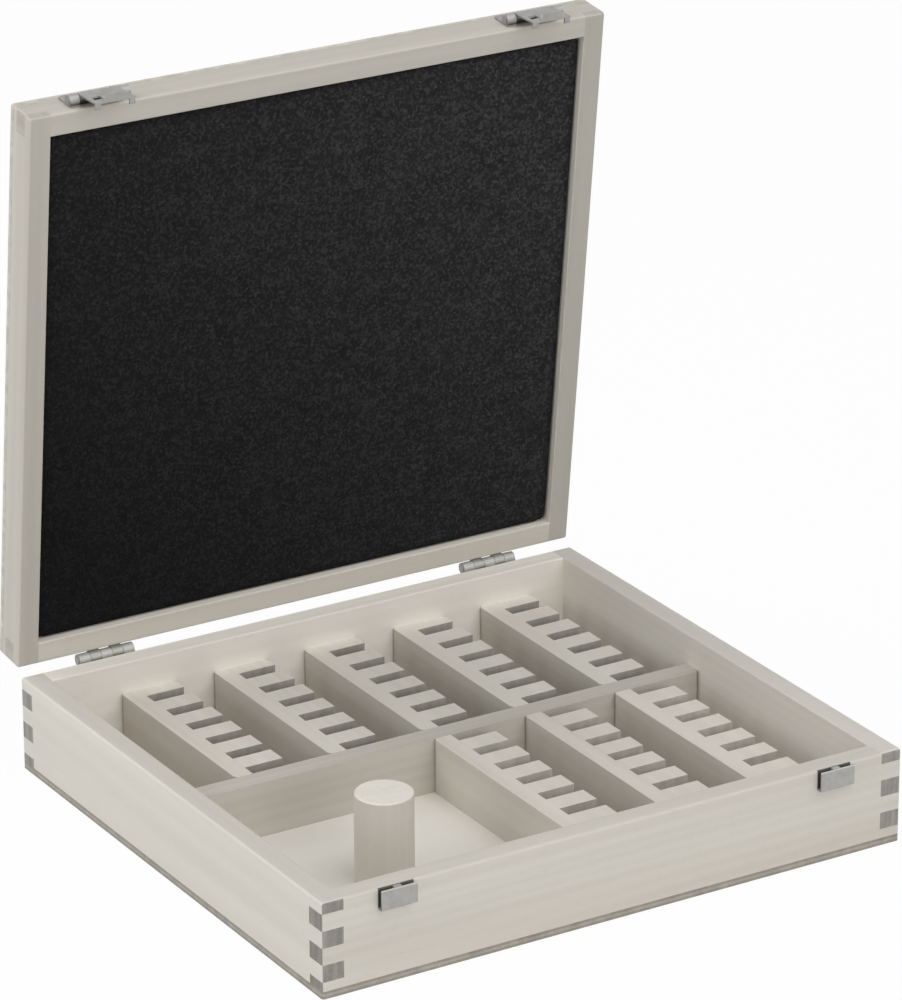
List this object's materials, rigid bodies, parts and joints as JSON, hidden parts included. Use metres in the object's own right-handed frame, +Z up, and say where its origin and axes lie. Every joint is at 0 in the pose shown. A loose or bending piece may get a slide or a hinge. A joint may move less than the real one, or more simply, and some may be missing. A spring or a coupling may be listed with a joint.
{
  "type": "cutter head storage case",
  "caption": "Shallow wooden storage case with finger joints, slotted knife racks, an upright post for a cutter head and a foam-lined hinged lid with latches.",
  "frame": {"origin": "centre of the underside of the case, on the surface that it stands on", "axes": "+X to the right of a person who faces the latches, +Y to the hinges at the back, +Z up"},
  "size_m": [0.336, 0.3376, 0.3723],
  "materials": {
    "pale_wood": "satin",
    "plywood": "satin",
    "post_wood": "satin",
    "foam": "matte",
    "pressed_steel": "satin",
    "screw_steel": "satin"
  },
  "bodies": {
    "case": {"body_front_wall": "pale_wood", "body_back_wall": "pale_wood", "body_left_wall": "pale_wood", "body_right_wall": "pale_wood", "bottom_panel": "plywood", "divider": "pale_wood", "rack_back_1": "pale_wood", "rack_back_2": "pale_wood", "rack_back_3": "pale_wood", "rack_back_4": "pale_wood", "rack_back_5": "pale_wood", "rack_front_1": "pale_wood", "rack_front_2": "pale_wood", "rack_front_3": "pale_wood", "cutter_post": "post_wood", "post_screw": "screw_steel", "keeper_left": "pressed_steel", "keeper_right": "pressed_steel", "hinge_left_body_leaf": "pressed_steel", "hinge_right_body_leaf": "pressed_steel", "hinge_left_pin": "pressed_steel", "hinge_right_pin": "pressed_steel", "hinge_body_screws": "screw_steel"},
    "lid": {"lid_front_rail": "pale_wood", "lid_back_rail": "pale_wood", "lid_left_rail": "pale_wood", "lid_right_rail": "pale_wood", "lid_panel": "plywood", "foam_pad": "foam", "hinge_left_lid_leaf": "pressed_steel", "hinge_right_lid_leaf": "pressed_steel", "hinge_lid_screws": "screw_steel", "latch_left_base": "pressed_steel", "latch_right_base": "pressed_steel", "latch_left_pin": "pressed_steel", "latch_right_pin": "pressed_steel", "latch_screws": "screw_steel"},
    "latch_left": {"latch_left_flap": "pressed_steel"},
    "latch_right": {"latch_right_flap": "pressed_steel"}
  },
  "joints": [
    {"name": "lid_hinge", "type": "hinge", "parent": "case", "child": "lid", "pos_m": [0, 0.1585, 0.05115], "axis": [1, 0, 0], "range_deg": [-95.9, 83.6]},
    {"name": "latch_left_hinge", "type": "hinge", "parent": "lid", "child": "latch_left", "pos_m": [-0.127, 0.12932, 0.36646], "axis": [-1, 0, 0], "range_deg": [-6, 143]},
    {"name": "latch_right_hinge", "type": "hinge", "parent": "lid", "child": "latch_right", "pos_m": [0.127, 0.12932, 0.36646], "axis": [-1, 0, 0], "range_deg": [-6, 143]}
  ]
}
